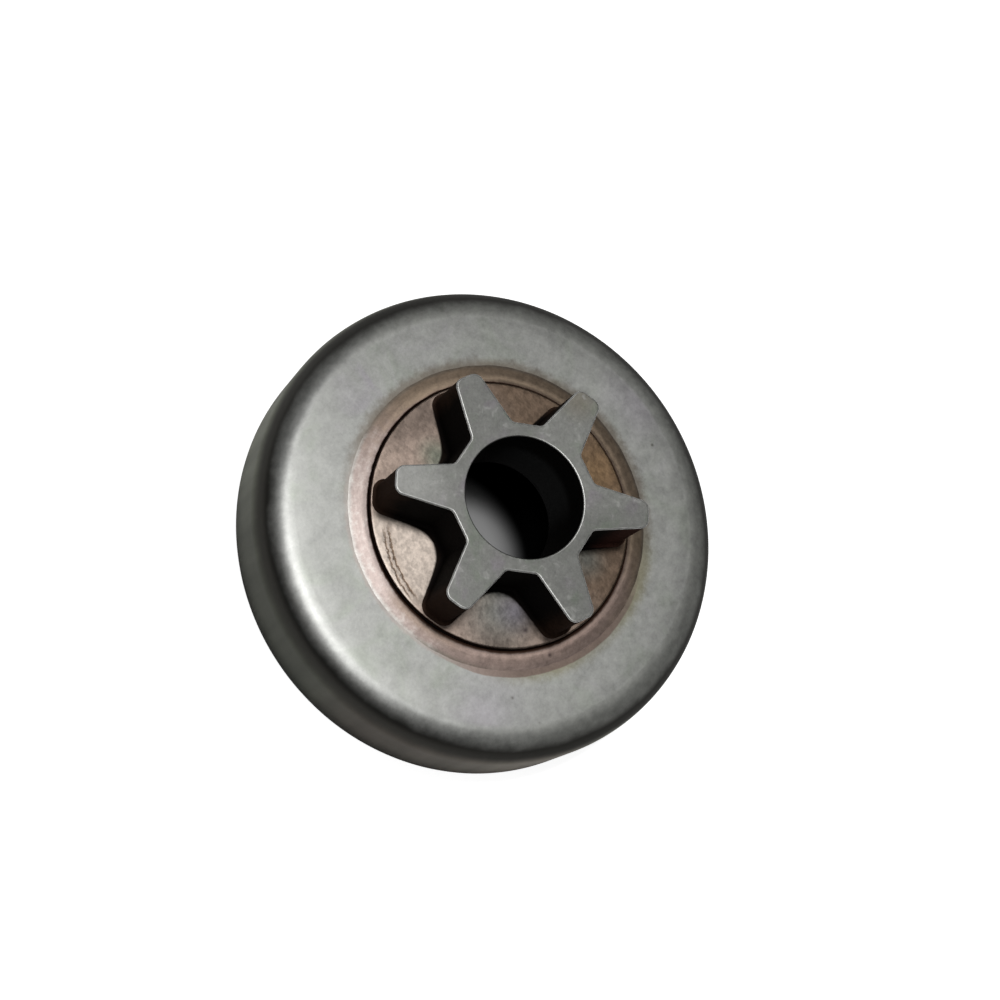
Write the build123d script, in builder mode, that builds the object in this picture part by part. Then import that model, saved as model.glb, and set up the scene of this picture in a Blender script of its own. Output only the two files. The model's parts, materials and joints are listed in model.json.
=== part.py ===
import os
from math import radians, sqrt, tan

from build123d import *

# Clutch drum sprocket of a chain saw, in millimetres.
# A cup drawn from steel sheet carries a six-tooth spur sprocket in the hole of its web,
# and copper filler brazes the two together.
# The origin is the middle of the open rim's plane. +Z runs along the axis, towards the teeth.

# Drum
drum_diameter = 56.0
drum_depth = 11.5  # rim to the outer face of the web
sheet_thickness = 2.0
drum_bend_radius = 4.2  # outside of the bend between wall and web
rim_chamfer = 0.3

# Sprocket bore, which runs on a needle cage
bore_diameter = 14.0
bore_chamfer = 0.2

# Sprocket teeth
tooth_count = 6
tip_diameter = 30.0
tip_width = 3.1  # across the tip, before its corners are rounded
tip_rounding = 1.1
flank_angle = 10.0  # of each flank to the tooth's middle line
hub_wall = 1.55  # between the bore and the flat floor of each valley
valley_rounding = 0.8
tooth_length = 7.4  # along the axis, from the disc to the front
tooth_foot_rounding = 0.4
front_edge_chamfer = 0.2

# Sprocket disc, which carries the teeth and sits in the web's hole
disc_margin = 0.65  # beyond the tips
disc_front_step = 0.75  # above the web's outer face
disc_back_step = 0.6  # below the web's inner face
disc_edge_chamfer = 0.2

# Copper filler
joint_gap = 0.1  # between the disc and the hole, filled with copper
collar_reach = 2.5  # from the disc's wall to the collar's outer edge
collar_edge_height = 0.05
crest_reach = 0.7  # from the disc's wall to the collar's crest
crest_height = 0.3
crest_rounding = 2.0
groove_width = 0.15  # open groove between the disc's wall and the collar's lip
groove_floor = 0.1  # above the web's outer face
lip_height = 0.22
lip_rounding = 0.1
inner_fillet_leg = 0.5
inner_fillet_sag = 0.1

# Levels and radii that follow from the sizes above
drum_radius = drum_diameter / 2
cup_radius = drum_radius - sheet_thickness
web_inner = drum_depth - sheet_thickness
bore_radius = bore_diameter / 2
tip_radius = tip_diameter / 2
valley_distance = bore_radius + hub_wall
disc_radius = tip_radius + disc_margin
disc_back = web_inner - disc_back_step
disc_front = drum_depth + disc_front_step
sprocket_front = disc_front + tooth_length
hole_radius = disc_radius + joint_gap
collar_radius = disc_radius + collar_reach
lip_radius = disc_radius + groove_width
crest_radius = disc_radius + crest_reach

os.makedirs("parts", exist_ok=True)

# Drum: the cup's section, turned about the axis
with BuildPart() as drum:
    with BuildSketch(Plane.XZ) as cup_section:
        with BuildLine():
            Polyline(
                (drum_radius, 0),
                (drum_radius, drum_depth),
                (hole_radius, drum_depth),
                (hole_radius, web_inner),
                (cup_radius, web_inner),
                (cup_radius, 0),
                close=True,
            )
        make_face()
        outer_bend = cup_section.vertices().sort_by_distance((drum_radius, drum_depth))[0]
        fillet(outer_bend, radius=drum_bend_radius)
        inner_bend = cup_section.vertices().sort_by_distance((cup_radius, web_inner))[0]
        fillet(inner_bend, radius=drum_bend_radius - sheet_thickness)
    revolve(axis=Axis.Z)
    rim = drum.faces().sort_by(Axis.Z)[0]
    chamfer(rim.edges(), length=rim_chamfer)

drum.part.label = "drum"
export_step(drum.part, "parts/drum.step")

# Sprocket: a disc, and on it the spur teeth round a core with one flat floor for each valley
tip_half_width = tip_width / 2
tip_corner_x = sqrt(tip_radius**2 - tip_half_width**2)
foot_half_width = tip_half_width + tip_corner_x * tan(radians(flank_angle))

with BuildSketch() as tooth:
    with BuildLine():
        tip = ThreePointArc(
            (tip_corner_x, -tip_half_width),
            (tip_radius, 0),
            (tip_corner_x, tip_half_width),
        )
        Polyline(tip @ 1, (0, foot_half_width), (0, -foot_half_width), tip @ 0)
    make_face()

with BuildPart() as sprocket:
    with BuildSketch(Plane.XY.offset(disc_back)):
        Circle(disc_radius)
    extrude(amount=disc_front - disc_back)
    disc_rim_edges = sprocket.edges().filter_by(GeomType.CIRCLE)
    chamfer(disc_rim_edges, length=disc_edge_chamfer)

    with BuildSketch(Plane.XY.offset(disc_front)) as tooth_outline:
        RegularPolygon(radius=valley_distance, side_count=tooth_count, major_radius=False)
        with PolarLocations(radius=0, count=tooth_count):
            add(tooth.sketch)
        valley_corners = tooth_outline.vertices().group_by(SortBy.DISTANCE)[0]
        fillet(valley_corners, radius=valley_rounding)
        tip_corners = tooth_outline.vertices().group_by(SortBy.DISTANCE)[-1]
        fillet(tip_corners, radius=tip_rounding)
    extrude(amount=tooth_length)

    disc_face = sprocket.faces().filter_by(Axis.Z).group_by(Axis.Z)[1][0]
    fillet(disc_face.inner_wires()[0].edges(), radius=tooth_foot_rounding)
    front_face = sprocket.faces().sort_by(Axis.Z)[-1]
    chamfer(front_face.outer_wire().edges(), length=front_edge_chamfer)

    with Locations((0, 0, sprocket_front)):
        Hole(radius=bore_radius)
    front_mouth = sprocket.faces().sort_by(Axis.Z)[-1].inner_wires()[0]
    back_mouth = sprocket.faces().sort_by(Axis.Z)[0].inner_wires()[0]
    chamfer(front_mouth.edges() + back_mouth.edges(), length=bore_chamfer)

sprocket.part.label = "sprocket"
export_step(sprocket.part, "parts/sprocket.step")

# Filler: a low collar with an open groove at the disc, the joint's thin sleeve and a hollow inner fillet
lip = (lip_radius, drum_depth + lip_height)
crest = (crest_radius, drum_depth + crest_height)

with BuildPart() as braze_ring:
    with BuildSketch(Plane.XZ) as filler_section:
        with BuildLine():
            collar = Polyline(
                (disc_radius, drum_depth + groove_floor),
                lip,
                crest,
                (collar_radius, drum_depth + collar_edge_height),
                (collar_radius, drum_depth),
                (hole_radius, drum_depth),
                (hole_radius, web_inner),
                (hole_radius + inner_fillet_leg, web_inner),
            )
            inner_fillet = SagittaArc(
                collar @ 1,
                (disc_radius, web_inner - inner_fillet_leg),
                -inner_fillet_sag,
            )
            Line(inner_fillet @ 1, collar @ 0)
        make_face()
        crest_corner = filler_section.vertices().sort_by_distance(crest)[0]
        fillet(crest_corner, radius=crest_rounding)
        lip_corner = filler_section.vertices().sort_by_distance(lip)[0]
        fillet(lip_corner, radius=lip_rounding)
    revolve(axis=Axis.Z)

braze_ring.part.label = "braze_ring"
export_step(braze_ring.part, "parts/braze_ring.step")
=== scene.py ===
import json
import math

import bpy
import numpy as np
from mathutils import Matrix, Vector


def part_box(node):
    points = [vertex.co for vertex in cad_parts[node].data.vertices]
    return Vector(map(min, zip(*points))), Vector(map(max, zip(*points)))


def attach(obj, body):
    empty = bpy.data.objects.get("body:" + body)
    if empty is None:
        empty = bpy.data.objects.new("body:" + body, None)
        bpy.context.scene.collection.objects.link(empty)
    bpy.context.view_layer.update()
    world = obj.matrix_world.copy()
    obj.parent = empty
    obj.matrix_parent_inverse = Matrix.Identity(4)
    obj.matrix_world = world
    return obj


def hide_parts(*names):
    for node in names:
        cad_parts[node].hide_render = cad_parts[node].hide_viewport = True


# Clutch drum sprocket of a chain saw: a drawn steel cup with a spur sprocket brazed into its web.
# Meshes are in metres. The sizes in the dictionaries are millimetres, as on a drawing.
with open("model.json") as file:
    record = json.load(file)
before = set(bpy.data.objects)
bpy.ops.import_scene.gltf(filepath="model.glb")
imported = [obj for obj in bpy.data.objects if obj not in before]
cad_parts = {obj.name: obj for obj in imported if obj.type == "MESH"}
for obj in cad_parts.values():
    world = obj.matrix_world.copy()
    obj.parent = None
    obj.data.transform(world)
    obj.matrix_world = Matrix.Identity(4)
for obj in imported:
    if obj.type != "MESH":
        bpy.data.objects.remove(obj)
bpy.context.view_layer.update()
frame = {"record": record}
mm = 0.001

mounts = {mount["name"]: mount for mount in frame["record"]["mounts"]}
drumBox = [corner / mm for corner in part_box("drum")]
sprocketBox = [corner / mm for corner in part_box("sprocket")]
brazeBox = [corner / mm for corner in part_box("braze_ring")]
boreRadius = mounts["bearing_bore"]["dims"]["r_mm"]
cupRadius = mounts["friction_wall"]["dims"]["r_mm"]
drumRadius = drumBox[1].x
faceLevel = drumBox[1].z  # outer face of the web
sheet = drumRadius - cupRadius
discRadius = sprocketBox[1].x
discBack = sprocketBox[0].z
frontLevel = sprocketBox[1].z  # ground front of the teeth
collarRadius = brazeBox[1].x
jointGap = 0.1  # filler between the disc and the web's hole
holeRadius = discRadius + jointGap
print("frame loaded: drum", round(2 * drumRadius, 2), "mm across, front at", round(frontLevel, 2), "mm")


# soot and painted shade that the collar and the disc share, in the groove and in the tooth roots
sootAndShade = {
    "collarWay": 212.0,  # compass angle at which the groove's soot and painted shade reach widest on the collar
    "discWay": 135.0,  # and on the disc
    "valleyHalf": 1.8,  # half the width of a valley's floor
    "rootReach": (0.30, 0.22),  # gaps to a valley's floor and flanks at which its painted shade ends and is full
    "rootRadii": (14.6, 13.2),  # distances from the axis at which it ends and is full
    "grooveSpan": (1.25, 0.65),  # shares of the groove's reach at which its soot and painted shade end and are full
}


# One output socket of a material. Sums and products of wires and numbers add Math nodes.
class Wire:
    def __init__(self, paint, socket):
        self.paint = paint
        self.socket = socket

    def maths(self, operation, first, second=0.0):
        return self.paint.node("ShaderNodeMath", {"operation": operation}, {0: first, 1: second})

    def __add__(self, other):
        return self.maths("ADD", self, other)

    def __radd__(self, other):
        return self.maths("ADD", other, self)

    def __sub__(self, other):
        return self.maths("SUBTRACT", self, other)

    def __rsub__(self, other):
        return self.maths("SUBTRACT", other, self)

    def __mul__(self, other):
        return self.maths("MULTIPLY", self, other)

    def __rmul__(self, other):
        return self.maths("MULTIPLY", other, self)

    def __truediv__(self, other):
        return self.maths("DIVIDE", self, other)

    def __rtruediv__(self, other):
        return self.maths("DIVIDE", other, self)

    def __pow__(self, other):
        return self.maths("POWER", self, other)


# The node tree of one material or of the world.
class Paint:
    def __init__(self, owner):
        owner.use_nodes = True
        self.owner = owner
        self.tree = owner.node_tree
        self.tree.nodes.clear()

    # any node: its type, its settings, which are set first, and the values or wires of its inputs
    def node(self, kind, settings=None, inputs=None, output=0):
        made = self.tree.nodes.new(kind)
        for name, value in (settings or {}).items():
            setattr(made, name, value)
        for name, value in (inputs or {}).items():
            if isinstance(value, Wire):
                self.tree.links.new(value.socket, made.inputs[name])
            elif isinstance(value, tuple) and made.inputs[name].type == "RGBA":
                made.inputs[name].default_value = (*value, 1.0)
            else:
                made.inputs[name].default_value = value
        return Wire(self, made.outputs[output]) if made.outputs else made

    # place on the piece in millimetres, as a vector
    def millimetres(self):
        metres = self.node("ShaderNodeTexCoord", output="Object")
        return self.node("ShaderNodeVectorMath", {"operation": "SCALE"}, {0: metres, "Scale": 1 / mm})

    def parts(self, vector):
        split = self.node("ShaderNodeSeparateXYZ", inputs={0: vector}).socket.node
        return [Wire(self, socket) for socket in split.outputs]

    def join(self, x, y, z):
        return self.node("ShaderNodeCombineXYZ", inputs={0: x, 1: y, 2: z})

    # cloudy pattern from 0 to 1 whose lumps are about size millimetres across
    def noise(self, vector, size, detail=2.0, roughness=0.5, warp=0.0):
        values = {"Vector": vector, "Scale": 1 / size, "Detail": detail}
        values.update({"Roughness": roughness, "Distortion": warp})
        return self.node("ShaderNodeTexNoise", inputs=values)

    # rises smoothly from 0 at low to 1 at high; falls where low is the larger
    def step(self, value, low, high):
        limits = {"Value": value, "From Min": low, "From Max": high}
        return self.node("ShaderNodeMapRange", {"interpolation_type": "SMOOTHSTEP"}, limits)

    def mix(self, amount, first, second, blend="MIX"):
        settings = {"data_type": "RGBA", "blend_type": blend, "clamp_factor": True}
        return self.node("ShaderNodeMix", settings, {0: amount, 6: first, 7: second}, output=2)

    # darkens or lightens a colour by a value about 1
    def shade(self, colour, value):
        return self.mix(1.0, colour, value, "MULTIPLY")

    def attribute(self, name):
        return self.node("ShaderNodeAttribute", {"attribute_name": name}, output="Fac")

    # noise drawn out along one value, with about so many lumps to a radian round the axis
    def bands(self, x, y, radius, count, along, detail=2.0, roughness=0.5):
        return self.noise(self.join(x / radius * count, y / radius * count, along), 1.0, detail, roughness)

    # how far a point of the flat is from a place, given as x and y
    def distance(self, x, y, place):
        return ((x - place[0]) ** 2.0 + (y - place[1]) ** 2.0) ** 0.5

    # 1 in the middle of a round patch on the flat, given as x, y and reach, and 0 beyond its reach
    def patch(self, x, y, place):
        return self.step(self.distance(x, y, place), place[2], 0.0)

    # 1 towards a compass angle about the axis, falling to -1 on the far side
    def towards(self, x, y, radius, degrees):
        turn = math.radians(degrees)
        return (x * math.cos(turn) + y * math.sin(turn)) / radius

    # 1 on a thin circle about a place on the flat, 0 off it
    def circleLine(self, x, y, centre, size, width):
        off = self.distance(x, y, centre) - size
        return self.step(off.maths("ABSOLUTE", off), width, 0.0)

    # painted shade in the tooth roots: 1 by a valley's floor and flanks and in its corners, 0 out on the
    # disc
    def rootShade(self, x, y, radius):
        half = math.pi / sprocket["form"]["toothCount"]
        turn = x.maths("ARCTAN2", y, x)
        fromValley = half - turn.maths("PINGPONG", turn, half)
        ahead = radius * fromValley.maths("COSINE", fromValley) - sprocket["form"]["valleyDistance"]
        aside = radius * fromValley.maths("SINE", fromValley) - sootAndShade["valleyHalf"]
        lean = half + math.radians(sprocket["form"]["flankAngle"])
        flankGap = ahead * math.sin(lean) - aside * math.cos(lean)
        # the two gaps a and b joined as 1 / (a^-1/2 + b^-1/2)^2, which rounds the corner between them
        least = 0.001  # keeps the powers finite
        floorGap = ahead.maths("MAXIMUM", ahead, least)
        flankGap = flankGap.maths("MAXIMUM", flankGap, least)
        gap = (floorGap ** -0.5 + flankGap ** -0.5) ** -2.0
        return self.step(gap, *sootAndShade["rootReach"]) * self.step(radius, *sootAndShade["rootRadii"])

    # soot and painted shade along the groove round the disc: 1 at the disc's edge, 0 past a reach that is
    # wider on one side
    def grooveShade(self, x, y, radius, away, reach, wideReach, wideWay):
        limit = reach + (wideReach - reach) * self.step(self.towards(x, y, radius, wideWay), 0.0, 0.8)
        return self.step(away / limit, *sootAndShade["grooveSpan"])

    # a Principled surface whose bump is so many millimetres high, with values that are the same all over
    def surface(self, colour, roughness, height, bump, constants):
        relief = {"Strength": 1.0, "Distance": bump * mm, "Height": height}
        normal = self.node("ShaderNodeBump", inputs=relief, output="Normal")
        inputs = {"Base Color": colour, "Roughness": roughness, "Normal": normal, **constants}
        shader = self.node("ShaderNodeBsdfPrincipled", inputs=inputs)
        self.node("ShaderNodeOutputMaterial", inputs={"Surface": shader})
        return self.owner


# Points from start towards end: start + step (end - start) at even steps, the end left to the next stretch.
def straight(start, end, count):
    steps = np.linspace(0, 1, count, endpoint=False)[:, None]
    return np.array(start) + steps * (np.array(end) - np.array(start))


# Points on an arc: centre + radius (cos, sin) of angles in degrees, the last one left to the next stretch.
def bend(centre, radius, fromAngle, toAngle, count):
    turn = np.radians(np.linspace(fromAngle, toAngle, count, endpoint=False))
    return np.array(centre) + radius * np.stack([np.cos(turn), np.sin(turn)], axis=1)


# A closed profile of (radius, height) carried round the axis: (r cos a, r sin a, z) for each angle a.
def turnedGrid(radii, heights, angles):
    return np.stack([radii * np.cos(angles), radii * np.sin(angles), heights], axis=-1)


# A sum of a few sine waves round the axis, of whole wave counts and seeded phases, about 1 high.
def ripple(angles, waves, seed):
    phases = np.random.default_rng(seed).uniform(0, 2 * np.pi, len(waves))
    strength = 1 / np.sqrt(len(waves))
    return strength * np.sin(angles[..., None] * np.array(waves) + phases).sum(axis=-1)


# A grid of points that closes on itself along both parameters, one quad for each point.
# The finish of each quad is the number of one of the materials.
def closedGrid(name, points, attributes, materials, finish, node):
    alongCount, roundCount = points.shape[:2]
    index = np.arange(alongCount * roundCount).reshape(alongCount, roundCount)
    nextAlong = np.roll(index, -1, axis=0)
    nextRound = np.roll(index, -1, axis=1)
    quads = np.stack([index, nextAlong, np.roll(nextAlong, -1, axis=1), nextRound], axis=-1).reshape(-1, 4)
    places = points.reshape(-1, 3) * mm
    # six times the volume under two triangles of each quad, which is negative if the faces point inwards
    corner = places[quads]
    halves = np.cross(corner[:, 1], corner[:, 2]) + np.cross(corner[:, 2], corner[:, 3])
    if (corner[:, 0] * halves).sum() < 0:
        quads = quads[:, ::-1]
    mesh = bpy.data.meshes.new(name)
    mesh.vertices.add(len(places))
    mesh.vertices.foreach_set("co", places.ravel())
    mesh.loops.add(quads.size)
    mesh.loops.foreach_set("vertex_index", quads.ravel())
    mesh.polygons.add(len(quads))
    mesh.polygons.foreach_set("loop_start", np.arange(0, quads.size, 4))
    mesh.update(calc_edges=True)
    mesh.polygons.foreach_set("use_smooth", np.ones(len(quads), dtype=bool))
    for label, values in attributes.items():
        spread = np.broadcast_to(values, (alongCount, roundCount)).ravel()
        mesh.attributes.new(label, "FLOAT", "POINT").data.foreach_set("value", spread.astype(np.float32))
    for material in materials:
        mesh.materials.append(material)
    finish = np.broadcast_to(finish, (alongCount, roundCount)).ravel()
    mesh.polygons.foreach_set("material_index", finish.astype(np.int32))
    piece = bpy.data.objects.new(name, mesh)
    bpy.context.scene.collection.objects.link(piece)
    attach(piece, "root")
    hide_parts(node)
    print(name, "made:", len(quads), "faces")


# Drum
drum = {
    "form": {
        "bendRadius": 4.2,
        "rimRounding": 0.3,
        "segments": 320,
        "wallWave": 0.012,  # unevenness left by the drawing die, always inwards
        "waves": (5, 11, 18, 29),  # its wave counts round the axis
        "seed": 3,
        "waveStart": 0.5,  # from the cup's inside to where it begins
        "sinkStart": 22.0,  # radius from which the face begins to sink towards the bend
        "sink": 0.04,
    },
    "look": {
        "face": (0.376, 0.379, 0.361),
        "faceGreen": (0.350, 0.364, 0.330),
        "facePurple": (0.375, 0.357, 0.379),
        "bright": (0.60, 0.605, 0.58),  # painted highlight on the burnished crown of the bend
        "faded": (0.415, 0.42, 0.395),  # fainter painted highlight on the same crown on the dull side
        "dark": (0.060, 0.058, 0.052),  # painted dark reflection in a band below it
        "wall": (0.140, 0.145, 0.117),
        "wallBrown": (0.158, 0.132, 0.113),
        "wallWay": 162.0,  # compass angle of the painted shade on the wall
        "brownWay": 205.0,  # and of its brownest
        "stain": (0.29, 0.275, 0.19),
        "blush": (0.185, 0.160, 0.130),  # breath of copper beside the collar
        "fringe": (0.42, 0.36, 0.33),
        "filmPale": (0.27, 0.21, 0.182),
        "film": (0.200, 0.150, 0.126),  # copper that ran out past the collar on one side
        "speck": (0.10, 0.09, 0.08),
        "inside": (0.36, 0.35, 0.33),
        "cloudSize": 7.0,
        "blotchSize": 2.4,
        "mottleSize": 0.85,
        "grainSize": 0.3,
        "bandCount": 14.0,  # upright bands to a radian of the wall
        "brownCount": 3.0,  # and brown ones
        "markCount": 6.0,  # turning marks to a millimetre of the inside
        "bump": 0.014,
        "roughness": 0.50,
        "burnished": 0.40,  # roughness of the bend on its bright side
        "dull": 0.62,  # and on the other side
        "crownLevels": (8.2, 9.4),  # heights at which the crown's sheen begins and is full
        "darkLevels": (11.0, 10.0),  # the same for the painted dark band, from above
        "wallLevels": (9.4, 7.6),  # for the wall below it
        "rimLevels": (4.5, 0.0),  # and for the painted shade towards the rim
        "brightWay": 145.0,  # compass angle of the most burnished side, where the painted highlight is strongest
        "dullWay": 10.0,  # of the side where the painted dark band reaches highest
        "shadeWay": 55.0,  # of the painted shade on the face
        "hazeWay": 5.0,  # of the side with most haze beside the collar
        "filmWay": 235.0,  # of the side where the copper ran out
        "filmPaleWay": 190.0,  # and of the palest part of that copper
        "filmReach": 0.62,
        "purplePlaces": ((23.0, -6.6, 7.0), (-20.0, -11.0, 7.0)),  # x, y and reach of each patch
        "stainPlaces": ((2.1, -19.2, 11.0), (-11.8, -16.1, 11.0)),
        "speckPlaces": ((19.2, -10.7, 0.32), (-16.9, -12.5, 0.32), (-17.4, -16.7, 0.32)),
    },
}


def drumProfile(form):
    # from the web's hole outwards over the face, round the bend, down the wall, back up the inside
    corner = drumRadius - form["bendRadius"]
    bendLevel = faceLevel - form["bendRadius"]
    innerLevel = faceLevel - sheet
    rounding = form["rimRounding"]
    face = straight((holeRadius, faceLevel), (corner, faceLevel), 40)
    shoulder = bend((corner, bendLevel), form["bendRadius"], 90, 0, 36)
    # the face sinks with the square of the way from the start of the sinking, and the bend takes it up
    way = np.clip((face[:, 0] - form["sinkStart"]) / (corner - form["sinkStart"]), 0, 1)
    face[:, 1] -= form["sink"] * way**2
    shoulder[:, 1] -= form["sink"] * (shoulder[:, 1] - bendLevel) / form["bendRadius"]
    return np.concatenate([
        face,
        shoulder,
        straight((drumRadius, bendLevel), (drumRadius, rounding), 16),
        bend((drumRadius - rounding, rounding), rounding, 0, -90, 5),
        straight((drumRadius - rounding, 0), (cupRadius + rounding, 0), 5),
        bend((cupRadius + rounding, rounding), rounding, -90, -180, 5),
        straight((cupRadius, rounding), (cupRadius, bendLevel), 16),
        bend((corner, bendLevel), form["bendRadius"] - sheet, 0, 90, 14),
        straight((corner, innerLevel), (holeRadius, innerLevel), 18),
        straight((holeRadius, innerLevel), (holeRadius, faceLevel), 4),
    ])


def drumSteel(look):
    paint = Paint(bpy.data.materials.new("drum satin steel"))
    place = paint.millimetres()
    x, y, z = paint.parts(place)
    radius = (x * x + y * y) ** 0.5
    clouds = paint.noise(place, look["cloudSize"], 3.0, 0.6, 0.8)
    blotch = paint.noise(place, look["blotchSize"], 2.0, 0.5, 0.4)
    mottle = paint.noise(place, look["mottleSize"], 3.0, 0.6)
    grain = paint.noise(place, look["grainSize"], 2.0, 0.7)
    # satin face with cool and warm clouds
    colour = paint.mix(paint.step(clouds, 0.32, 0.52), look["faceGreen"], look["face"])
    colour = paint.mix(0.8 * paint.step(clouds, 0.58, 0.76), colour, look["facePurple"])
    for patchPlace in look["purplePlaces"]:
        colour = paint.mix(0.7 * paint.patch(x, y, patchPlace), colour, look["facePurple"])
    # painted shade on one side of the face
    shadedFaceSide = paint.step(paint.towards(x, y, radius, look["shadeWay"]), 0.5, 0.95)
    colour = paint.shade(colour, 1 - 0.15 * shadedFaceSide)
    # copper breath and flux stain beside the collar, and specks of dirt
    hazy = paint.step(paint.towards(x, y, radius, look["hazeWay"]), -0.75, 0.1)
    nearCollar = hazy * paint.step(radius + 1.4 * mottle, collarRadius + 2.0, collarRadius + 0.5)
    colour = paint.mix(0.85 * nearCollar, colour, look["blush"])
    stainRing = paint.step(radius + 1.2 * mottle, collarRadius + 2.6, collarRadius + 0.8)
    for patchPlace in look["stainPlaces"]:
        colour = paint.mix(0.9 * stainRing * paint.patch(x, y, patchPlace), colour, look["stain"])
    fringe = paint.step(radius + 0.9 * (mottle - 0.5), collarRadius + 0.40, collarRadius - 0.05)
    colour = paint.mix(0.6 * (1 - hazy) * fringe, colour, look["fringe"])
    ranOut = paint.step(paint.towards(x, y, radius, look["filmWay"]), 0.55, 0.92)
    filmEdge = collarRadius - 0.1 + look["filmReach"] * ranOut
    filmEdge = filmEdge + 0.5 * (clouds - 0.5) + 0.2 * (mottle - 0.5)
    paleFilm = paint.step(paint.towards(x, y, radius, look["filmPaleWay"]), 0.85, 1.0)
    film = paint.mix(paleFilm, look["film"], look["filmPale"])
    colour = paint.mix(0.95 * ranOut * paint.step(radius - filmEdge, 0.10, -0.06), colour, film)
    for patchPlace in look["speckPlaces"]:
        colour = paint.mix(1.2 * grain * paint.patch(x, y, patchPlace), colour, look["speck"])
    # crown of the bend with a painted highlight, burnished on one side, dull and broader on the other, with
    # a painted dark reflection band below it
    outside = paint.step(radius, cupRadius - 2.6, cupRadius - 1.6)
    burnished = paint.step(paint.towards(x, y, radius, look["brightWay"]), 0.0, 0.8)
    outwards = radius + 0.6 * (1 - burnished)
    onBend = paint.step(outwards, cupRadius - 1.75, cupRadius - 0.95)
    onCrown = paint.step(outwards, cupRadius - 1.4, cupRadius - 0.6) * paint.step(z, *look["crownLevels"])
    paintedCrown = paint.shade(paint.mix(burnished, look["faded"], look["bright"]), 1 - 0.10 * shadedFaceSide)
    colour = paint.mix(onBend, colour, paintedCrown)
    colour = paint.shade(colour, 0.36 + 0.40 * blotch + 0.58 * mottle + 0.30 * grain)
    # the painted dark band reaches higher up the bend on one side
    darkBandSide = paint.step(paint.towards(x, y, radius, look["dullWay"]), -0.1, 0.6)
    level = z + 0.10 * (mottle - 0.5) + 0.5 * (clouds - 0.5) - 0.42 * darkBandSide
    colour = paint.mix(outside * paint.step(level, *look["darkLevels"]), colour, look["dark"])
    # drawn wall with soft upright bands, painted shade towards the rim and on one side, and painted light on
    # the other sides
    band = paint.bands(x, y, radius, look["bandCount"], z * 0.05)
    brown = paint.bands(x, y, radius, look["brownCount"], z * 0.12)
    brownSide = paint.step(paint.towards(x, y, radius, look["brownWay"]), 0.76, 0.95)
    brownPlace = brownSide * (0.45 + 0.5 * brown)
    wallColour = paint.mix(brownPlace, look["wall"], look["wallBrown"])
    wallShadeSide = paint.step(paint.towards(x, y, radius, look["wallWay"]), 0.45, 0.95)
    wallColour = paint.shade(wallColour, 0.53 + 0.66 * band + 0.14 * mottle)
    rimShade = 1 - 0.40 * wallShadeSide * paint.step(z, *look["rimLevels"])
    wallColour = paint.shade(wallColour, (2.15 - 1.15 * wallShadeSide) * rimShade)
    onWall = outside * paint.step(level, *look["wallLevels"])
    colour = paint.mix(onWall, colour, wallColour)
    # inside of the cup: turning marks on plain steel
    section = paint.join(radius * look["markCount"], z * look["markCount"], 0.0)
    marks = paint.noise(section, 1.0, 3.0, 0.6)
    insideColour = paint.shade(look["inside"], 0.70 + 0.35 * marks + 0.25 * mottle)
    belowFace = paint.step(z, faceLevel - 1.0, faceLevel - 1.6)
    inside = paint.step(radius, cupRadius + 0.4, cupRadius + 0.1) * belowFace
    colour = paint.mix(inside, colour, insideColour)
    sheen = look["dull"] + (look["burnished"] - look["dull"]) * burnished
    roughness = look["roughness"] + (sheen - look["roughness"]) * onCrown + 0.10 * (mottle - 0.5)
    height = (0.4 * mottle + 0.35 * grain) * (1 - 0.7 * onWall)
    height = height + 0.3 * band * onWall + 0.5 * marks * inside
    return paint.surface(colour, roughness, height, look["bump"], {"Metallic": 1.0})


def makeDrum(form, look):
    profile = drumProfile(form)
    angles = np.linspace(0, 2 * np.pi, form["segments"], endpoint=False)[:, None]
    wave = 0.5 * form["wallWave"] * (1 + ripple(angles, form["waves"], form["seed"]))
    onWall = np.clip((profile[:, 0] - cupRadius - form["waveStart"]) / sheet, 0, 1)
    radii = profile[None, :, 0] - np.clip(wave, 0, None) * onWall[None, :]
    heights = np.broadcast_to(profile[None, :, 1], radii.shape)
    points = turnedGrid(radii, heights, angles)
    closedGrid("drumCup", points, {}, [drumSteel(look)], 0, "drum")


makeDrum(**drum)


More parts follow.
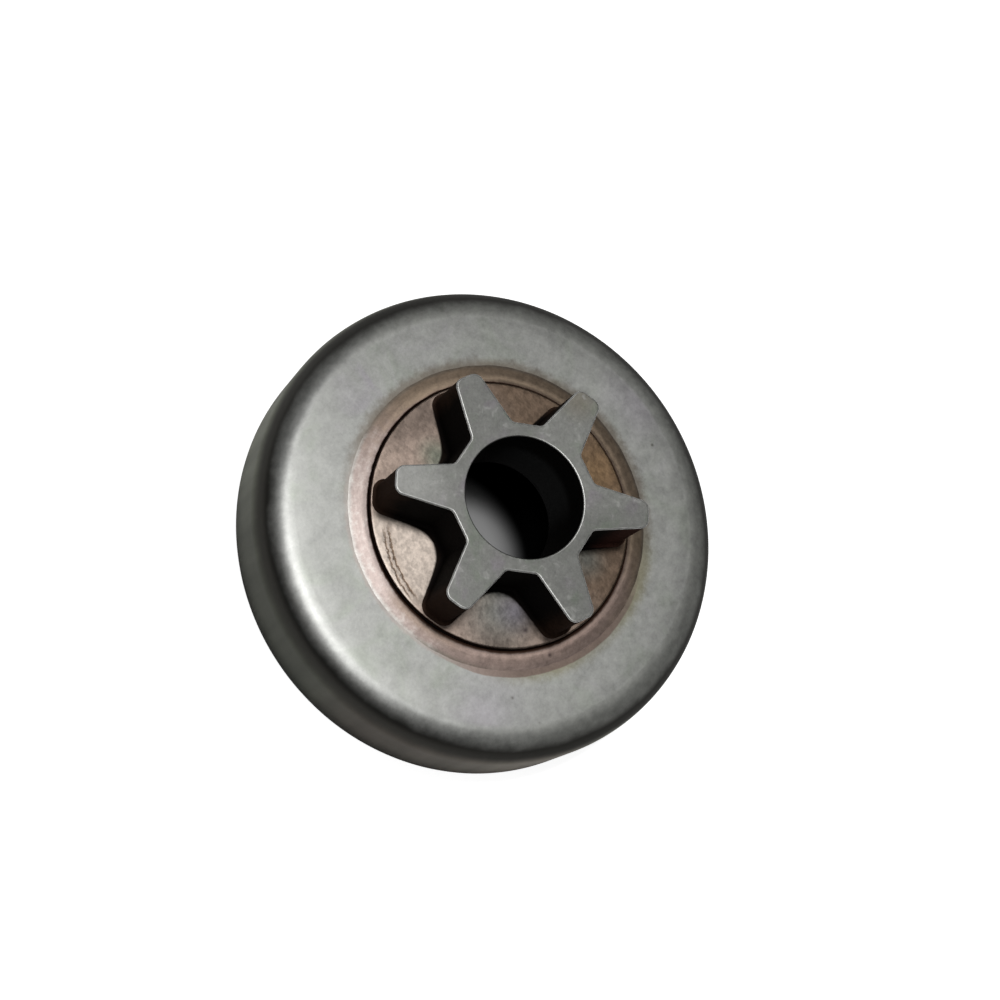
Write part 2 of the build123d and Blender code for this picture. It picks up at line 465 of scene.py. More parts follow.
# Copper filler between the cup and the sprocket
braze = {
    "form": {
        "grooveFloor": 0.1,
        "lipReach": 0.15,  # from the disc's wall to the lip of the groove
        "lipHeight": 0.29,
        "crestReach": 0.60,  # and to the crest
        "crestHeight": 0.3,
        "easeIn": 0.35,  # share of the slope over which it steepens
        "easeOut": 0.05,  # and over which it flattens at its end
        "toeHeight": -0.02,  # the edge dips into the face, so it runs out unevenly
        "seatDepth": 0.08,  # of the collar's underside in the face
        "innerLeg": 0.5,  # of the small fillet inside the cup
        "innerSag": 0.1,  # its hollow
        "segments": 400,
        "waveStart": 0.7,  # from the disc's wall to where the collar becomes uneven
        "edgeWave": 0.04,  # unevenness of the outer edge, with its wave counts and seed
        "edgeWaves": (4, 9, 17, 26, 41),
        "edgeSeed": 11,
        "crestWave": 0.02,  # and of the height
        "crestWaves": (6, 13, 23, 37),
        "crestSeed": 12,
    },
    "look": {
        "glow": (0.465, 0.387, 0.358),  # palest side
        "mauve": (0.31, 0.240, 0.212),  # sides next to it
        "rose": (0.43, 0.325, 0.28),  # where the copper ran out
        "brown": (0.300, 0.230, 0.168),  # dull side
        "land": (0.275, 0.205, 0.160),  # flat next to the groove on the dull side
        "toe": (0.56, 0.55, 0.52),  # painted highlight along the outer edge
        "groove": (0.055, 0.030, 0.020),
        "deep": (0.026, 0.012, 0.008),  # painted shade at the bottom of the groove
        "speck": (0.07, 0.05, 0.05),
        "cloudSize": 3.5,
        "mottleSize": 0.8,
        "grainSize": 0.28,
        "streakCount": 5.0,  # streaks to a radian round the collar
        "bump": 0.016,
        "roughness": 0.52,
        "paleWay": 140.0,  # compass angle of the palest side
        "mauveWay": 180.0,  # of the mauve side
        "sootyWay": 178.0,  # of a sooty patch by the groove
        "roseWay": 243.0,  # of the side where the copper ran out
        "lipWay": 285.0,  # and of the side whose lip has the most painted shade
        "grooveReach": (0.26, 0.42),  # of the soot and painted shade from the disc's wall, on the narrow and the wide side
        "deepReach": (0.30, 0.12),  # gaps to the disc's wall at which the painted shade of the groove's bottom begins and is full
        "speckPlace": (-10.2, -13.5, 0.4),  # x, y and reach
    },
}


def brazeProfile(form):
    # groove floor, lip, shoulder, crest, slope, seat on the face, sleeve in the joint, hollow inner fillet
    lip, crest = discRadius + form["lipReach"], discRadius + form["crestReach"]
    grooveFloor = faceLevel + form["grooveFloor"]
    innerLevel = faceLevel - sheet
    filletReach = holeRadius + form["innerLeg"]
    filletFoot = innerLevel - form["innerLeg"]
    seat = faceLevel - form["seatDepth"]
    rise = straight((discRadius, grooveFloor), (lip, faceLevel + form["lipHeight"]), 5)
    # the shoulder rises as a quarter of a sine wave
    steps = np.linspace(0, 1, 12, endpoint=False)
    swell = form["lipHeight"] + (form["crestHeight"] - form["lipHeight"]) * np.sin(0.5 * np.pi * steps)
    shoulder = np.stack([lip + steps * (crest - lip), faceLevel + swell], axis=1)
    # the slope falls evenly, easing in over its first third and out at its end: its height is a running sum
    steps = np.linspace(0, 1, 36, endpoint=False)
    ease = np.clip(steps / form["easeIn"], 0, 1) * np.clip((1 - steps) / form["easeOut"], 0, 1)
    fall = np.cumsum(ease) / ease.sum()
    heights = form["crestHeight"] + fall * (form["toeHeight"] - form["crestHeight"])
    slope = np.stack([crest + steps * (collarRadius - crest), faceLevel + heights], axis=1)
    # the inner fillet bows into its corner as a parabola: 4 sag step (1 - step), inwards and up
    steps = np.linspace(0, 1, 10, endpoint=False)
    fillet = straight((filletReach, innerLevel), (discRadius, filletFoot), len(steps))
    fillet += (form["innerSag"] * 4 * steps * (1 - steps))[:, None] * np.array((-0.7, 0.7))
    return np.concatenate([
        rise,
        shoulder,
        slope,
        straight((collarRadius, faceLevel + form["toeHeight"]), (collarRadius, seat), 2),
        straight((collarRadius, seat), (holeRadius, seat), 6),
        straight((holeRadius, seat), (holeRadius, innerLevel), 4),
        straight((holeRadius, innerLevel), (filletReach, innerLevel), 3),
        fillet,
        straight((discRadius, filletFoot), (discRadius, grooveFloor), 6),
    ])


def brazeCopper(form, look):
    paint = Paint(bpy.data.materials.new("copper braze filler"))
    place = paint.millimetres()
    x, y = paint.parts(place)[:2]
    radius = (x * x + y * y) ** 0.5
    clouds = paint.noise(place, look["cloudSize"], 3.0, 0.6, 0.6)
    mottle = paint.noise(place, look["mottleSize"], 4.0, 0.65)
    grain = paint.noise(place, look["grainSize"], 3.0, 0.7)
    crest = discRadius + form["crestReach"]
    # mauve and pale towards one side, brown on the other, where the flat by the groove is darker still
    pale = paint.step(paint.towards(x, y, radius, look["paleWay"]) + 0.4 * (clouds - 0.5), 0.60, 1.0)
    onSlope = paint.step(radius + 0.4 * (mottle - 0.5), crest - 0.45, crest)
    side = paint.towards(x, y, radius, look["mauveWay"]) + 0.5 * (clouds - 0.5) - 0.25 * onSlope
    side = paint.step(side, -0.6, 0.2)
    colour = paint.mix(onSlope, look["land"], look["brown"])
    colour = paint.mix(side, colour, look["mauve"])
    ranOut = paint.step(paint.towards(x, y, radius, look["roseWay"]) + 0.2 * (clouds - 0.5), 0.6, 0.97)
    outer = paint.step(radius, crest + 0.2, collarRadius)
    colour = paint.mix(ranOut * (1 - 0.8 * outer), colour, look["rose"])
    colour = paint.mix(pale, colour, look["glow"])
    # pale lumps in the painted highlight's colour on the pale side
    colour = paint.mix(0.45 * pale * paint.step(mottle, 0.48, 0.70), colour, look["toe"])
    sooty = paint.step(paint.towards(x, y, radius, look["sootyWay"]), 0.92, 0.99)
    inner = paint.step(radius + 0.5 * (mottle - 0.5), crest + 1.2, crest + 0.1)
    colour = paint.mix(0.75 * sooty * inner * (1 - ranOut), colour, look["land"])
    # painted highlight along the outer edge on the pale side, and elsewhere fading into the face's own blush
    toe = paint.step(radius + 0.6 * (mottle - 0.5), collarRadius - 0.75, collarRadius - 0.15)
    toeHighlightColour = paint.mix(pale, drum["look"]["blush"], look["toe"])
    colour = paint.mix(0.85 * toe * (1 - ranOut), colour, toeHighlightColour)
    streaks = paint.bands(x, y, radius, look["streakCount"], radius * 2.6, 3.0, 0.6)
    colour = paint.shade(colour, 0.45 * streaks + 1.05 * mottle + 0.50 * grain)
    # painted shade on the lip beside the groove, on all but the far side
    lipShadeSide = paint.step(paint.towards(x, y, radius, look["lipWay"]), -0.65, -0.2)
    colour = paint.shade(colour, 1 - 0.6 * lipShadeSide * paint.step(radius, crest + 0.2, crest - 0.25))
    colour = paint.mix(0.8 * paint.patch(x, y, look["speckPlace"]), colour, look["speck"])
    # sooty groove with painted shade, darkest at its bottom
    away = radius - discRadius + 0.20 * (mottle - 0.5)
    inGroove = paint.grooveShade(x, y, radius, away, *look["grooveReach"], sootAndShade["collarWay"])
    grooveColour = paint.mix(paint.step(away, *look["deepReach"]), look["groove"], look["deep"])
    colour = paint.mix(inGroove, colour, grooveColour)
    roughness = look["roughness"] + 0.14 * (mottle - 0.5) + 0.2 * inGroove
    height = 0.5 * mottle + 0.4 * grain
    return paint.surface(colour, roughness, height, look["bump"], {"Metallic": 1.0})


def makeBraze(form, look):
    profile = brazeProfile(form)
    angles = np.linspace(0, 2 * np.pi, form["segments"], endpoint=False)[:, None]
    waveStart = discRadius + form["waveStart"]
    edgeShare = np.clip((profile[:, 0] - waveStart) / (collarRadius - waveStart), 0, 1)[None, :]
    crestShare = edgeShare * np.clip((profile[:, 1] - faceLevel) / form["crestHeight"], 0, 1)[None, :]
    edgeRipple = form["edgeWave"] * ripple(angles, form["edgeWaves"], form["edgeSeed"])
    crestRipple = form["crestWave"] * ripple(angles, form["crestWaves"], form["crestSeed"])
    radii = profile[None, :, 0] + edgeRipple * edgeShare
    heights = profile[None, :, 1] + crestRipple * crestShare
    points = turnedGrid(radii, heights, angles)
    closedGrid("brazeCollar", points, {}, [brazeCopper(form, look)], 0, "braze_ring")


makeBraze(**braze)


# Sprocket
sprocket = {
    "form": {
        "toothCount": 6,
        "tipRadius": 15.0,
        "tipWidth": 3.1,  # before the tip's corners are rounded
        "tipRounding": 1.1,
        "flankAngle": 10.0,
        "valleyDistance": 8.55,  # from the axis to each flat valley floor
        "valleyRounding": 0.8,
        "footRounding": 0.4,
        "frontRounding": 0.2,
        "boreRounding": 0.14,
        "frontHem": 0.06,  # narrow rows round the front keep its flat shading clean
        "discLevel": 12.25,
        "discRounding": 0.25,
    },
    "look": {
        "front": (0.215, 0.217, 0.204),
        "frontGreen": (0.193, 0.209, 0.180),
        "frontPurple": (0.222, 0.208, 0.217),
        "frontPale": (0.31, 0.31, 0.295),
        "frontStain": (0.19, 0.165, 0.12),
        "edge": (0.66, 0.66, 0.64),
        "disc": (0.342, 0.268, 0.224),
        "discPale": (0.545, 0.470, 0.408),
        "discDark": (0.165, 0.118, 0.085),
        "discWorn": (0.27, 0.272, 0.228),
        "back": (0.30, 0.285, 0.265),
        # soot and painted shade on the disc's wall in the groove
        "seam": (0.055, 0.028, 0.019),
        # painted shade in the tooth roots
        "root": (0.007, 0.005, 0.004),
        "speck": (0.06, 0.045, 0.05),
        "cloudSize": 4.0,
        "mottleSize": 0.8,
        "pebbleSize": 1.2,
        "lumpSize": 0.75,
        "grainSize": 0.26,
        "markCount": 6.0,  # turning marks to a millimetre of the back
        "bump": 0.024,
        "roughness": 0.50,
        "frontWay": -20.0,  # compass angle of the front's paler side
        "darkWay": -30.0,  # of the disc's darkest side
        "mouthWay": -48.0,  # and of the side of the bore's mouth that keeps the bright edge colour, a painted highlight
        "paleTooth": (-6.8, 11.8, 7.0),  # x, y and reach, as for the places below
        "stainPlace": (13.6, 1.0, 3.6),  # on the front of one tooth
        "palePlace": (-10.9, 6.3, 9.0),  # valley where the wash is palest
        "dotPlace": (-9.75, -9.5, 0.5),
        "lapPlace": (-12.2, 6.4, 6.0),  # two forging laps in the pale valley
        "lapCentre": (-1.3, -1.0),
        "lapRadii": (14.2, 13.65),
        "lapWidth": 0.22,
        "foldWidth": 1.1,  # of the soft hollow along the inner lap
        "wornRadii": (11.8, 10.2),  # distances from the axis at which the wash begins to wear and is worn
        "grooveReach": (0.03, 0.12),  # of the soot and painted shade from the disc's edge, on the narrow and the wide side
    },
    # tints of the copper wash from valley to valley: x, y and reach, share and colour
    "tints": {
        "moss": {"place": (0.9, 10.3, 2.8), "share": 0.8, "colour": (0.175, 0.190, 0.148)},
        "grey": {"place": (1.7, -11.0, 3.6), "share": 0.9, "colour": (0.135, 0.137, 0.122)},
        "olive": {"place": (11.6, -6.7, 7.0), "share": 1.0, "colour": (0.225, 0.148, 0.084)},
        "green": {"place": (-9.9, -5.7, 6.5), "share": 1.0, "colour": (0.185, 0.183, 0.165)},
        "purple": {"place": (-8.6, -7.4, 3.5), "share": 0.9, "colour": (0.165, 0.155, 0.175)},
    },
    # darker places on the disc, painted shade beside the tooth flanks and smudges towards the rim: x, y and
    # reach
    "dims": (
        (0.5, 16.0, 4.5),
        (-14.0, -8.0, 4.5),
        (4.2, 13.6, 4.2),
        (-8.7, -10.0, 3.0),
        (-12.5, -0.5, 5.0),
    ),
    # black scale on the flanks and in the bore
    "scale": {
        "black": (0.005, 0.0035, 0.003),
        "rust": (0.034, 0.019, 0.013),
        "red": (0.085, 0.034, 0.026),
        # painted sheen in the bore
        "rubbed": (0.036, 0.036, 0.036),
        "cloudSize": 3.0,
        "mottleSize": 0.7,
        "bump": 0.02,
        "roughness": 0.75,
        "specular": 0.05,
        "rustRadii": (12.6, 14.8),  # distances from the axis at which the rust begins and is full
        "redPlace": (5.4, -11.8, 3.2),  # x, y and reach
        "rubbedWay": -12.0,  # compass angle of the painted sheen in the bore
        "rubbedLevels": (16.2, 14.4),  # heights at which it begins and is full, from above
    },
}


def toothOutline(form):
    # half a tooth: tip land about the axis, corner arc, straight flank, valley arc, flat valley floor
    slant = math.radians(form["flankAngle"])
    half = math.pi / form["toothCount"]
    tip, corner, valley = form["tipRadius"], form["tipRounding"], form["valleyRounding"]
    flankNormal = np.array((math.sin(slant), math.cos(slant)))
    flankLine = np.array((math.cos(slant), -math.sin(slant)))
    floorNormal = np.array((math.cos(half), math.sin(half)))
    tipCorner = np.array((math.sqrt(tip**2 - form["tipWidth"] ** 2 / 4), form["tipWidth"] / 2))
    flankDistance = flankNormal @ tipCorner
    reach = math.sqrt((tip - corner) ** 2 - (flankDistance - corner) ** 2)
    tipCentre = (flankDistance - corner) * flankNormal + reach * flankLine
    lines = np.array([flankNormal, floorNormal])
    valleyCentre = np.linalg.solve(lines, (flankDistance + valley, form["valleyDistance"] + valley))
    landAngle = math.degrees(math.atan2(tipCentre[1], tipCentre[0]))
    flankTurn = 90 - form["flankAngle"]
    floorTurn = math.degrees(half)
    flankStart = tipCentre + corner * flankNormal
    flankEnd = valleyCentre - valley * flankNormal
    floorStart = valleyCentre - valley * floorNormal
    floorEnd = form["valleyDistance"] * floorNormal
    counts = (4, 10, 16, 8, 8)  # points on land, corner, flank, valley arc and floor
    points = np.concatenate([
        bend((0, 0), tip, 0, landAngle, counts[0]),
        bend(tipCentre, corner, landAngle, flankTurn, counts[1]),
        straight(flankStart, flankEnd, counts[2]),
        bend(valleyCentre, valley, flankTurn + 180, floorTurn + 180, counts[3]),
        straight(floorStart, floorEnd, counts[4]),
        floorEnd[None, :],
    ])
    turns = np.radians(np.concatenate([
        np.linspace(0, landAngle, counts[0], endpoint=False),
        np.linspace(landAngle, flankTurn, counts[1], endpoint=False),
        np.full(counts[2], flankTurn),
        np.linspace(flankTurn, floorTurn, counts[3], endpoint=False),
        np.full(counts[4] + 1, floorTurn),
    ]))
    normals = np.stack([np.cos(turns), np.sin(turns)], axis=1)
    # the other half mirrored, then one copy for each tooth, with shared end points used once
    flip = np.array((1, -1))
    points = np.concatenate([points[:0:-1] * flip, points[:-1]])
    normals = np.concatenate([normals[:0:-1] * flip, normals[:-1]])
    spin = 2 * half * np.arange(form["toothCount"])
    turn = np.array([[np.cos(spin), np.sin(spin)], [-np.sin(spin), np.cos(spin)]])
    points = np.einsum("pi,ijk->kpj", points, turn).reshape(-1, 2)
    normals = np.einsum("pi,ijk->kpj", normals, turn).reshape(-1, 2)
    return points, normals


def makeSprocket(form, look, tints, dims, scale):
    # rows run from the bore's back over the disc, up the flanks, over the front and down the bore
    outline, normals = toothOutline(form)
    polar = np.arctan2(outline[:, 1], outline[:, 0])
    spoke = np.stack([np.cos(polar), np.sin(polar)], axis=1)
    foot, edge = form["footRounding"], form["frontRounding"]
    mouth, rim = form["boreRounding"], form["discRounding"]
    disc, hem = form["discLevel"], form["frontHem"]
    mouthRadius, hemRadius = boreRadius + mouth, boreRadius + mouth + hem
    backRows = np.concatenate([
        straight((mouthRadius, discBack), (discRadius - rim, discBack), 10),
        bend((discRadius - rim, discBack + rim), rim, -90, 0, 4),
    ])
    wallRows = straight((discRadius, discBack + rim), (discRadius, disc - rim), 8)
    rimRows = bend((discRadius - rim, disc - rim), rim, 0, 90, 8)
    mouthRows = bend((mouthRadius, frontLevel - mouth), mouth, 90, 180, 8)
    boreRows = np.concatenate([
        straight((boreRadius, frontLevel - mouth), (boreRadius, discBack + mouth), 14),
        bend((mouthRadius, discBack + mouth), mouth, 180, 270, 6),
    ])
    footRows = bend((foot, foot), foot, 270, 180, 6)
    edgeRows = bend((-edge, frontLevel - edge), edge, 0, 90, 6)
    flankLevels = np.linspace(disc + foot, frontLevel - edge, 14, endpoint=False)

    # points of the flat lifted to one level for each row
    def lifted(flat, levels):
        heights = np.broadcast_to(levels, flat.shape[:2])
        return np.concatenate([flat, heights[:, :, None]], axis=2)

    # rows of (radius, height) turned about the axis: radius times the spoke, at that height
    def turnedPart(rows):
        return lifted(spoke[:, None, :] * rows[None, :, :1], rows[:, 1])

    # rows beside the teeth's outline: outline + away times its normal, one row for each level
    def outlinePart(away, levels):
        return lifted(outline[:, None, :] + normals[:, None, :] * away[None, :, None], levels)

    # flats between a circle and the outline: start + share (end - start)
    def flatPart(start, end, level, count):
        shares = np.linspace(0, 1, count, endpoint=False)
        return lifted(start[:, None, :] + shares[None, :, None] * (end - start)[:, None, :], level)

    blocks = [
        ("back", turnedPart(backRows)),
        ("seam", turnedPart(wallRows)),
        ("disc", turnedPart(rimRows)),
        ("disc", flatPart(spoke * (discRadius - rim), outline + normals * foot, disc, 20)),
        ("flank", outlinePart(footRows[:, 0], disc + footRows[:, 1])),
        ("flank", outlinePart(np.zeros(len(flankLevels)), flankLevels)),
        ("edge", outlinePart(edgeRows[:, 0], edgeRows[:, 1])),
        ("front", outlinePart(np.array([-edge]), np.array([frontLevel]))),
        ("front", flatPart(outline - normals * (edge + hem), spoke * hemRadius, frontLevel, 16)),
        ("front", turnedPart(np.array([[hemRadius, frontLevel]]))),
        ("edge", turnedPart(mouthRows)),
        ("bore", turnedPart(boreRows)),
    ]
    points = np.concatenate([block for zone, block in blocks], axis=1)
    zones = np.concatenate([np.full(block.shape[1], zone) for zone, block in blocks])
    attributes = {
        "discZone": np.isin(zones, ["disc", "flank"]).astype(float)[None, :],
        "seamZone": (zones == "seam").astype(float)[None, :],
        "frontZone": (zones == "front").astype(float)[None, :],
        "backZone": (zones == "back").astype(float)[None, :],
    }
    finishes = [sprocketSteel(look, tints, dims), darkScale(scale)]
    rowFinish = np.isin(zones, ["flank", "bore"]).astype(int)[None, :]
    closedGrid("sprocketBody", points, attributes, finishes, rowFinish, "sprocket")


def sprocketSteel(look, tints, dims):
    paint = Paint(bpy.data.materials.new("sprocket steel"))
    place = paint.millimetres()
    x, y = paint.parts(place)[:2]
    radius = (x * x + y * y) ** 0.5
    zones = ("discZone", "seamZone", "frontZone", "backZone")
    onDisc, onSeam, onFront, onBack = (paint.attribute(name) for name in zones)
    clouds = paint.noise(place, look["cloudSize"], 3.0, 0.6, 0.2)
    mottle = paint.noise(place, look["mottleSize"], 4.0, 0.65)
    pebble = paint.noise(place, look["pebbleSize"], 2.0, 0.6, 0.5)
    lumps = paint.step(paint.noise(place, look["lumpSize"], 1.0, 0.5), 0.32, 0.68)
    grain = paint.noise(place, look["grainSize"], 2.0, 0.7)
    # ground front, dull and blotchy, with bright worn edges
    front = paint.mix(paint.step(clouds, 0.30, 0.48), look["frontGreen"], look["front"])
    front = paint.mix(paint.step(clouds, 0.54, 0.72), front, look["frontPurple"])
    front = paint.mix(paint.patch(x, y, look["paleTooth"]), front, look["frontPale"])
    front = paint.mix(0.5 * paint.patch(x, y, look["stainPlace"]), front, look["frontStain"])
    front = paint.mix(0.55 * paint.step(pebble, 0.60, 0.72), front, look["frontPale"])
    front = paint.shade(front, 0.27 + 0.36 * pebble + 0.60 * mottle + 0.50 * grain)
    paleSide = paint.step(paint.towards(x, y, radius, look["frontWay"]), 0.5, 0.95)
    front = paint.shade(front, 0.93 + 0.26 * paleSide)
    edge = paint.shade(look["edge"], 0.35 + 1.05 * mottle)
    # painted highlight: the bore's mouth keeps the bright edge colour on one side, the front's colour
    # elsewhere
    mouthWithoutHighlight = paint.step(radius, boreRadius + 0.5, boreRadius + 0.2)
    mouthWithoutHighlight = mouthWithoutHighlight * paint.step(paint.towards(x, y, radius, look["mouthWay"]), 0.9, 0.1)
    edge = paint.mix(mouthWithoutHighlight, edge, front)
    colour = paint.mix(onFront, edge, front)
    # disc with its copper wash, of another tint in each valley
    farSide = paint.step(paint.towards(x, y, radius, look["darkWay"]) + 0.6 * (clouds - 0.5), -0.2, 0.6)
    wash = paint.mix(farSide, look["disc"], look["discDark"])
    wash = paint.mix(0.8 * paint.step(radius + 2.0 * clouds, *look["wornRadii"]), wash, look["discWorn"])
    for tint in tints.values():
        wash = paint.mix(tint["share"] * paint.patch(x, y, tint["place"]), wash, tint["colour"])
    pale = paint.step(paint.patch(x, y, look["palePlace"]) + 0.25 * (mottle - 0.5), 0.10, 0.50)
    wash = paint.mix(pale, wash, look["discPale"])
    # two wavy forging laps, and a soft hollow along the inner one
    wavyX = x + 0.8 * (mottle - 0.5)
    wavyY = y + 0.8 * (grain - 0.5)
    lapCentre, lapRadii = look["lapCentre"], look["lapRadii"]
    laps = [paint.circleLine(wavyX, wavyY, lapCentre, size, look["lapWidth"]) for size in lapRadii]
    lap = pale * (laps[0] + laps[1]) * paint.step(paint.patch(x, y, look["lapPlace"]), 0.0, 0.5)
    folds = pale * paint.circleLine(x, y, lapCentre, lapRadii[1], look["foldWidth"])
    wash = paint.mix(0.9 * lap + 0.22 * folds, wash, look["discDark"])
    wash = paint.shade(wash, 0.16 + 0.26 * lumps + 0.90 * mottle + 0.52 * grain)
    wash = paint.mix(0.8 * paint.patch(x, y, look["dotPlace"]), wash, look["speck"])
    # painted shade beside the tooth flanks, and smudges towards the rim
    for dimPlace in dims:
        wash = paint.shade(wash, 1 - 0.50 * paint.patch(x, y, dimPlace))
    # painted shade in the tooth roots, then soot and painted shade along the groove
    wash = paint.mix(paint.rootShade(x, y, radius), wash, look["root"])
    away = discRadius - radius + 0.10 * (mottle - 0.5)
    inGroove = paint.grooveShade(x, y, radius, away, *look["grooveReach"], sootAndShade["discWay"])
    wash = paint.mix(inGroove, wash, look["seam"])
    colour = paint.mix(onDisc, colour, wash)
    # soot and painted shade on the disc's wall in the groove
    colour = paint.mix(onSeam, colour, look["seam"])
    # plain turned back of the disc
    marks = paint.noise(paint.join(radius * look["markCount"], 0.0, 0.0), 1.0, 3.0, 0.6)
    backColour = paint.shade(look["back"], 0.55 + 0.50 * marks + 0.40 * mottle)
    colour = paint.mix(onBack, colour, backColour)
    roughness = look["roughness"] + 0.14 * (mottle - 0.5)
    height = (0.5 * mottle + 0.45 * grain) * (0.6 + 0.4 * onDisc)
    height = height + (0.30 * lumps - 0.5 * lap) * onDisc
    return paint.surface(colour, roughness, height, look["bump"], {"Metallic": 1.0})


def darkScale(look):
    paint = Paint(bpy.data.materials.new("dark scale"))
    place = paint.millimetres()
    x, y, z = paint.parts(place)
    radius = (x * x + y * y) ** 0.5
    clouds = paint.noise(place, look["cloudSize"], 3.0, 0.6, 0.6)
    mottle = paint.noise(place, look["mottleSize"], 4.0, 0.65)
    rust = paint.step(radius + 3.0 * (clouds - 0.5), *look["rustRadii"])
    colour = paint.mix(rust, look["black"], look["rust"])
    colour = paint.mix(0.9 * paint.patch(x, y, look["redPlace"]), colour, look["red"])
    # painted sheen in the bore, a reflection of the lit floor
    inBore = paint.step(radius, boreRadius + 0.3, boreRadius + 0.1) * paint.step(z, *look["rubbedLevels"])
    rubbed = inBore * paint.step(paint.towards(x, y, radius, look["rubbedWay"]), 0.5, 0.95)
    colour = paint.mix(rubbed, colour, look["rubbed"])
    colour = paint.shade(colour, 0.5 + mottle)
    roughness = look["roughness"] + 0.2 * (mottle - 0.5)
    constants = {"Metallic": 0.0, "Specular IOR Level": look["specular"]}
    return paint.surface(colour, roughness, mottle, look["bump"], constants)


makeSprocket(**sprocket)


# Studio: pale floor, a small round lamp and a broad dim one overhead, dark surroundings
studio = {
    "floorRadius": 4.0,  # metres
    "floorTone": 0.68,
    "floorGlow": 0.86,
    "floorMottle": 0.03,  # unevenness of its tone
    "mottleSize": 60.0,
    "floorSegments": 96,
    "floorRings": 12,
    "mirrorShare": 0.45,  # of the floor's glow that shows in metal
    "mirrorGap": (10.0, 50.0),  # from the wall to where that begins and is full
    "shadePlace": (-5.65, 2.0),  # middle of the pale patch of floor that shows through the bore
    "shadeReach": (8.0, 13.0),  # from that middle to where the painted shade round the patch begins and where it is black
    "patchShare": 0.62,  # its tone against the rest of the floor, a painted shade under the cup
    "lampDistance": 0.60,  # metres
    "horizon": (0.04, 0.04, 0.04),
    "zenith": (0.07, 0.07, 0.07),
}

# each lamp: its lean from straight above, the compass angle that it leans to, half its height and half
# its width, all in degrees, and what it throws on the part, of which pi would make white paper full white
lamps = {
    "keyLamp": {"lean": 7.8, "turn": 30.0, "halfHeight": 4.0, "halfWidth": 4.0, "strength": 1.14},
    "fillLamp": {"lean": 19.1, "turn": 138.0, "halfHeight": 10.0, "halfWidth": 22.0, "strength": 0.58},
}


def floorPaint(setup):
    paint = Paint(bpy.data.materials.new("pale studio floor"))
    place = paint.millimetres()
    x, y = paint.parts(place)[:2]
    radius = (x * x + y * y) ** 0.5
    rays = ("Is Camera Ray", "Is Glossy Ray", "Is Transmission Ray")
    seen, mirrored, through = (paint.node("ShaderNodeLightPath", output=ray) for ray in rays)
    # no glow under the cup, which also gets painted shade; what the wall mirrors close by glows less, as
    # painted shade
    clearOfCup = paint.step(radius, cupRadius, cupRadius + 0.5)
    clearOfWall = paint.step(radius, *(drumRadius + gap for gap in setup["mirrorGap"]))
    glow = seen * clearOfCup + setup["mirrorShare"] * (mirrored + through) * clearOfWall
    # painted shade on the floor under the cup, round the pale patch that shows through the bore
    shade = (1 - clearOfCup) * paint.step(paint.distance(x, y, setup["shadePlace"]), *setup["shadeReach"])
    patchTone = setup["patchShare"] + (1 - setup["patchShare"]) * clearOfCup
    mottle = setup["floorMottle"] * (paint.noise(place, setup["mottleSize"]) - 0.5)
    tone = setup["floorTone"] * patchTone * (1 - shade) + mottle
    values = {"Base Color": tone, "Emission Color": setup["floorGlow"] * glow, "Emission Strength": 1.0}
    values.update({"Roughness": 1.0, "Specular IOR Level": 0.0})
    front = paint.node("ShaderNodeBsdfPrincipled", inputs=values)
    clear = paint.node("ShaderNodeBsdfTransparent")
    back = paint.node("ShaderNodeNewGeometry", output="Backfacing")
    surface = paint.node("ShaderNodeMixShader", inputs={0: back, 1: front, 2: clear})
    paint.node("ShaderNodeOutputMaterial", inputs={"Surface": surface})
    return paint.owner


def makeFloor(setup):
    # a flat round sheet: rings of points at growing radii joined by quads, with one point in the middle
    angles = np.linspace(0, 2 * np.pi, setup["floorSegments"], endpoint=False)
    radii = setup["floorRadius"] * np.linspace(0, 1, setup["floorRings"] + 1)[1:] ** 2
    ring = np.stack([np.cos(angles), np.sin(angles), np.zeros_like(angles)], axis=1)
    points = np.concatenate([np.zeros((1, 3)), (radii[:, None, None] * ring).reshape(-1, 3)])
    index = 1 + np.arange(radii.size * angles.size).reshape(radii.size, angles.size)
    nextAngle = np.roll(index, -1, axis=1)
    quads = np.stack([index[:-1], index[1:], nextAngle[1:], nextAngle[:-1]], axis=-1).reshape(-1, 4)
    fan = np.stack([np.zeros_like(index[0]), index[0], nextAngle[0]], axis=-1)
    mesh = bpy.data.meshes.new("studioFloor")
    mesh.from_pydata(points.tolist(), [], fan.tolist() + quads.tolist())
    mesh.materials.append(floorPaint(setup))
    floor = bpy.data.objects.new("studioFloor", mesh)
    bpy.context.scene.collection.objects.link(floor)


def makeLamp(name, setup, distance):
    lean, turn = math.radians(setup["lean"]), math.radians(setup["turn"])
    high, wide = math.radians(setup["halfHeight"]), math.radians(setup["halfWidth"])
    way = Vector((math.sin(lean) * math.cos(turn), math.sin(lean) * math.sin(turn), math.cos(lean)))
    data = bpy.data.lights.new(name, "AREA")
    data.shape = "ELLIPSE"
    data.size = 2 * distance * math.tan(wide)
    data.size_y = 2 * distance * math.tan(high)
    radiance = setup["strength"] / (math.pi * math.sin(wide) * math.sin(high))
    data.energy = radiance * math.pi * math.pi * data.size * data.size_y / 4
    lamp = bpy.data.objects.new(name, data)
    lamp.location = way * distance
    lamp.rotation_euler = way.to_track_quat("Z", "Y").to_euler()
    bpy.context.scene.collection.objects.link(lamp)


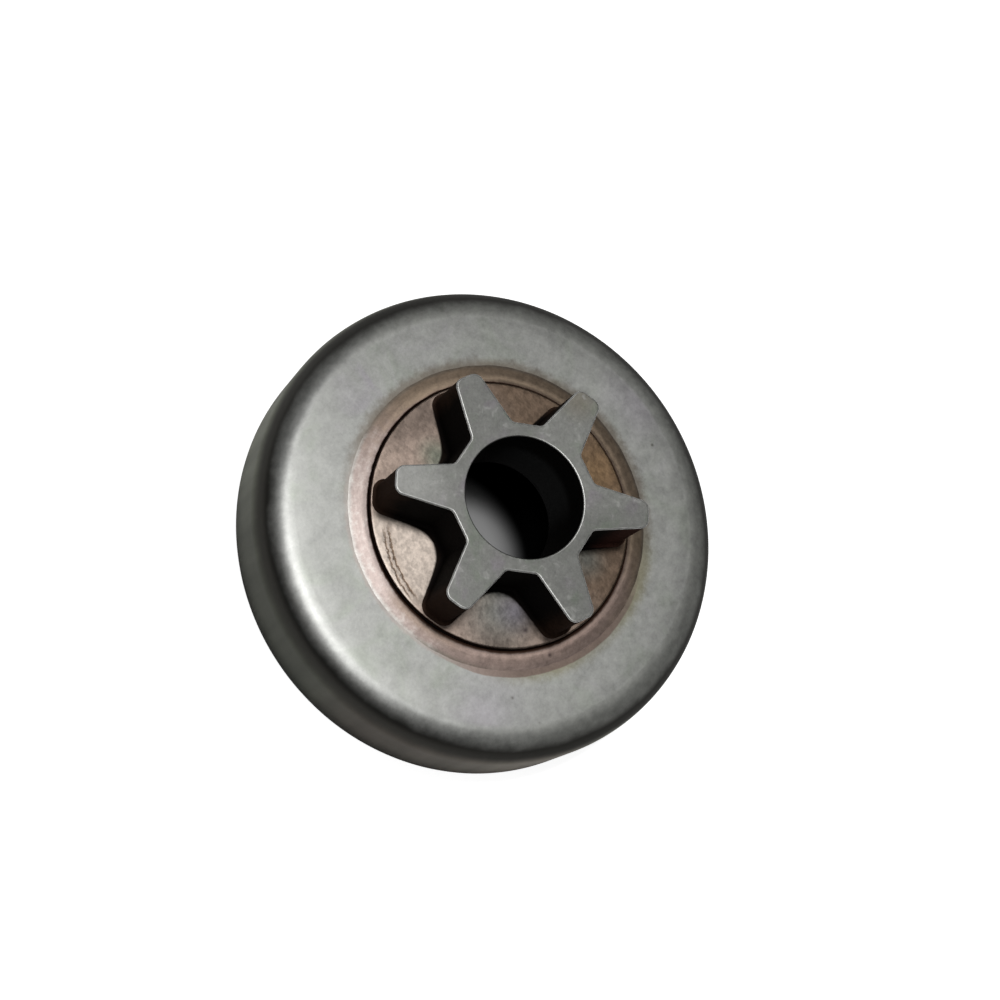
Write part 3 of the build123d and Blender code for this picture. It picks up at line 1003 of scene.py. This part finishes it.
def makeWorld(setup):
    world = bpy.data.worlds.new("dim room")
    paint = Paint(world)
    way = paint.node("ShaderNodeTexCoord", output="Generated")
    upwards = paint.parts(way)[2]
    sky = paint.mix(paint.step(upwards, 0.0, 1.0), setup["horizon"], setup["zenith"])
    room = paint.node("ShaderNodeBackground", inputs={"Color": sky, "Strength": 1.0})
    paint.node("ShaderNodeOutputWorld", inputs={"Surface": room})
    bpy.context.scene.world = world


makeFloor(studio)
for lampName, lampSetup in lamps.items():
    makeLamp(lampName, lampSetup, studio["lampDistance"])
makeWorld(studio)
print("studio made")


# Camera, as in the photograph
view = {
    "distance": 220.0,  # to the middle of the sprocket's front, in millimetres
    "tilt": 26.17,  # degrees between the view and the axis
    "turn": 160.45,  # compass angle of the camera about the axis
    "roll": -35.32,
    "focal": 1993.19,  # in pixels
    "frontAt": (525.32, 496.97),  # pixel of the middle of the sprocket's front
    "imageSide": 1000.0,  # pixels
    "sensor": 36.0,
    "clipStart": 0.005,  # metres
}


def makeCamera(setup):
    tilt, turn, roll = (math.radians(setup[key]) for key in ("tilt", "turn", "roll"))
    back = Vector((math.sin(tilt) * math.cos(turn), math.sin(tilt) * math.sin(turn), math.cos(tilt)))
    target = Vector((0, 0, frontLevel))
    level = Vector((0, 0, 1)).cross(back).normalized()
    rise = back.cross(level)
    # unrolled picture axes: the part's axis points right, so right is the rise and up is minus level
    right, up = rise, -level
    across = math.cos(roll) * right + math.sin(roll) * up
    upwards = -math.sin(roll) * right + math.cos(roll) * up
    middle = setup["imageSide"] / 2
    shift = [(middle - pixel) / setup["focal"] for pixel in setup["frontAt"]]
    ahead = (-back + across * shift[0] - upwards * shift[1]).normalized()
    across = (across - ahead * across.dot(ahead)).normalized()
    upwards = across.cross(ahead)
    data = bpy.data.cameras.new("photoCamera")
    data.sensor_width = setup["sensor"]
    data.lens = setup["sensor"] * setup["focal"] / setup["imageSide"]
    data.clip_start = setup["clipStart"]
    camera = bpy.data.objects.new("photoCamera", data)
    place = (target + back * setup["distance"]) * mm
    turned = Matrix((across, upwards, -ahead)).transposed().to_4x4()
    camera.matrix_world = Matrix.Translation(place) @ turned
    bpy.context.scene.collection.objects.link(camera)
    bpy.context.scene.camera = camera


makeCamera(view)
bpy.context.scene.view_settings.view_transform = "Standard"
